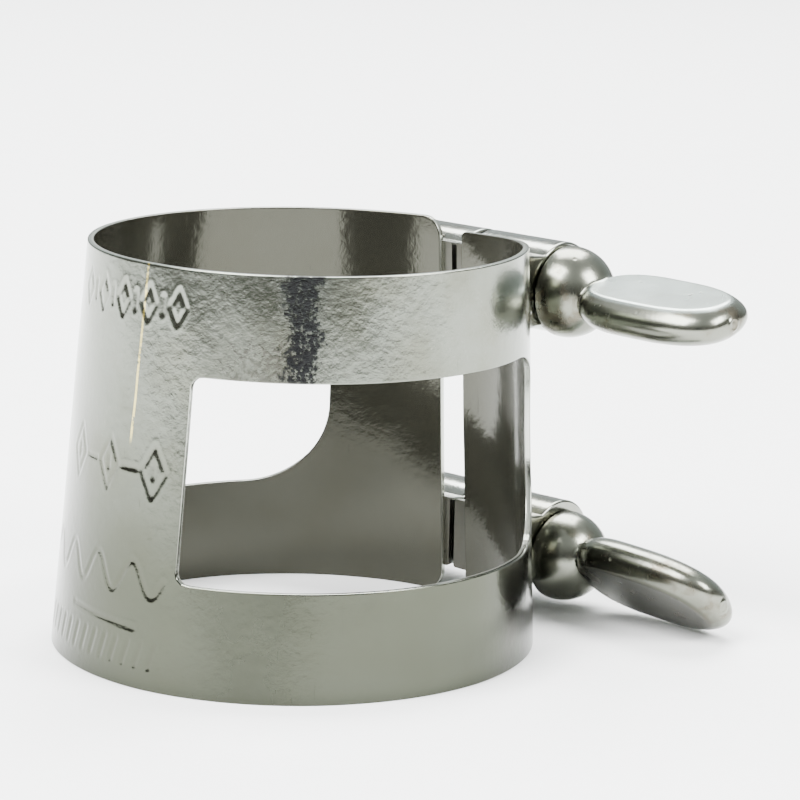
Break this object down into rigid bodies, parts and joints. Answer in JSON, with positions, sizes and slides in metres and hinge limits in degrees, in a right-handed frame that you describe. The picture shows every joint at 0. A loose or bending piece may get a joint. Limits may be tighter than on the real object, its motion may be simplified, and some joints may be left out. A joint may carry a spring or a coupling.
{
  "type": "clarinet ligature",
  "caption": "Tapered sheet-metal band with a solid reed plate, cut-away windows and a split closed by thumb screws in soldered barrel lugs, for a clarinet mouthpiece.",
  "frame": {"origin": "where the bore's axis meets the plane of the wide rim", "axes": "+Z along the bore from the wide rim to the narrow rim, +Y towards the split and its lugs, +X towards the paddles of the thumb screws"},
  "size_m": [0.0334, 0.0338, 0.0234],
  "materials": {
    "band_plate": "bright nickel plate over brass sheet, with a fine orange peel, pressed marks and a few rubbed scratches that show the brass",
    "lug_plate": "bright nickel plate over brass, with a bead of plated solder where each lug meets the band",
    "shank_plate": "thinner nickel plate over a cut brass thread, dull in the roots",
    "head_plate": "polished nickel plate over cast brass, with small pits and handling marks"
  },
  "bodies": {
    "band_body": {"band": "band_plate", "upper_plain_lug": "lug_plate", "upper_threaded_lug": "lug_plate", "lower_plain_lug": "lug_plate", "lower_threaded_lug": "lug_plate"},
    "upper_shank_body": {"upper_screw_shank": "shank_plate"},
    "upper_head_body": {"upper_screw_head": "head_plate"},
    "lower_shank_body": {"lower_screw_shank": "shank_plate"},
    "lower_head_body": {"lower_screw_head": "head_plate"}
  },
  "joints": [
    {"name": "upper_screw_travel", "type": "slide", "parent": "band_body", "child": "upper_shank_body", "axis": [0.9998, 0, -0.0175], "range_m": [0, 0.0056]},
    {"name": "upper_screw_turn", "type": "hinge", "parent": "upper_shank_body", "child": "upper_head_body", "pos_m": [-0.00289, 0.0157, 0.01972], "axis": [0.9998, 0, -0.0175], "range_deg": [0, 2880.2]},
    {"name": "lower_screw_travel", "type": "slide", "parent": "band_body", "child": "lower_shank_body", "axis": [0.9981, 0, -0.061], "range_m": [0, 0.0056]},
    {"name": "lower_screw_turn", "type": "hinge", "parent": "lower_shank_body", "child": "lower_head_body", "pos_m": [-0.00357, 0.01676, 0.00375], "axis": [0.9981, 0, -0.061], "range_deg": [0, 2880.2]}
  ],
  "couplings": [
    {"joint": "upper_screw_turn", "follows": "upper_screw_travel", "rad_per_m": 8976},
    {"joint": "lower_screw_turn", "follows": "lower_screw_travel", "rad_per_m": 8976}
  ]
}
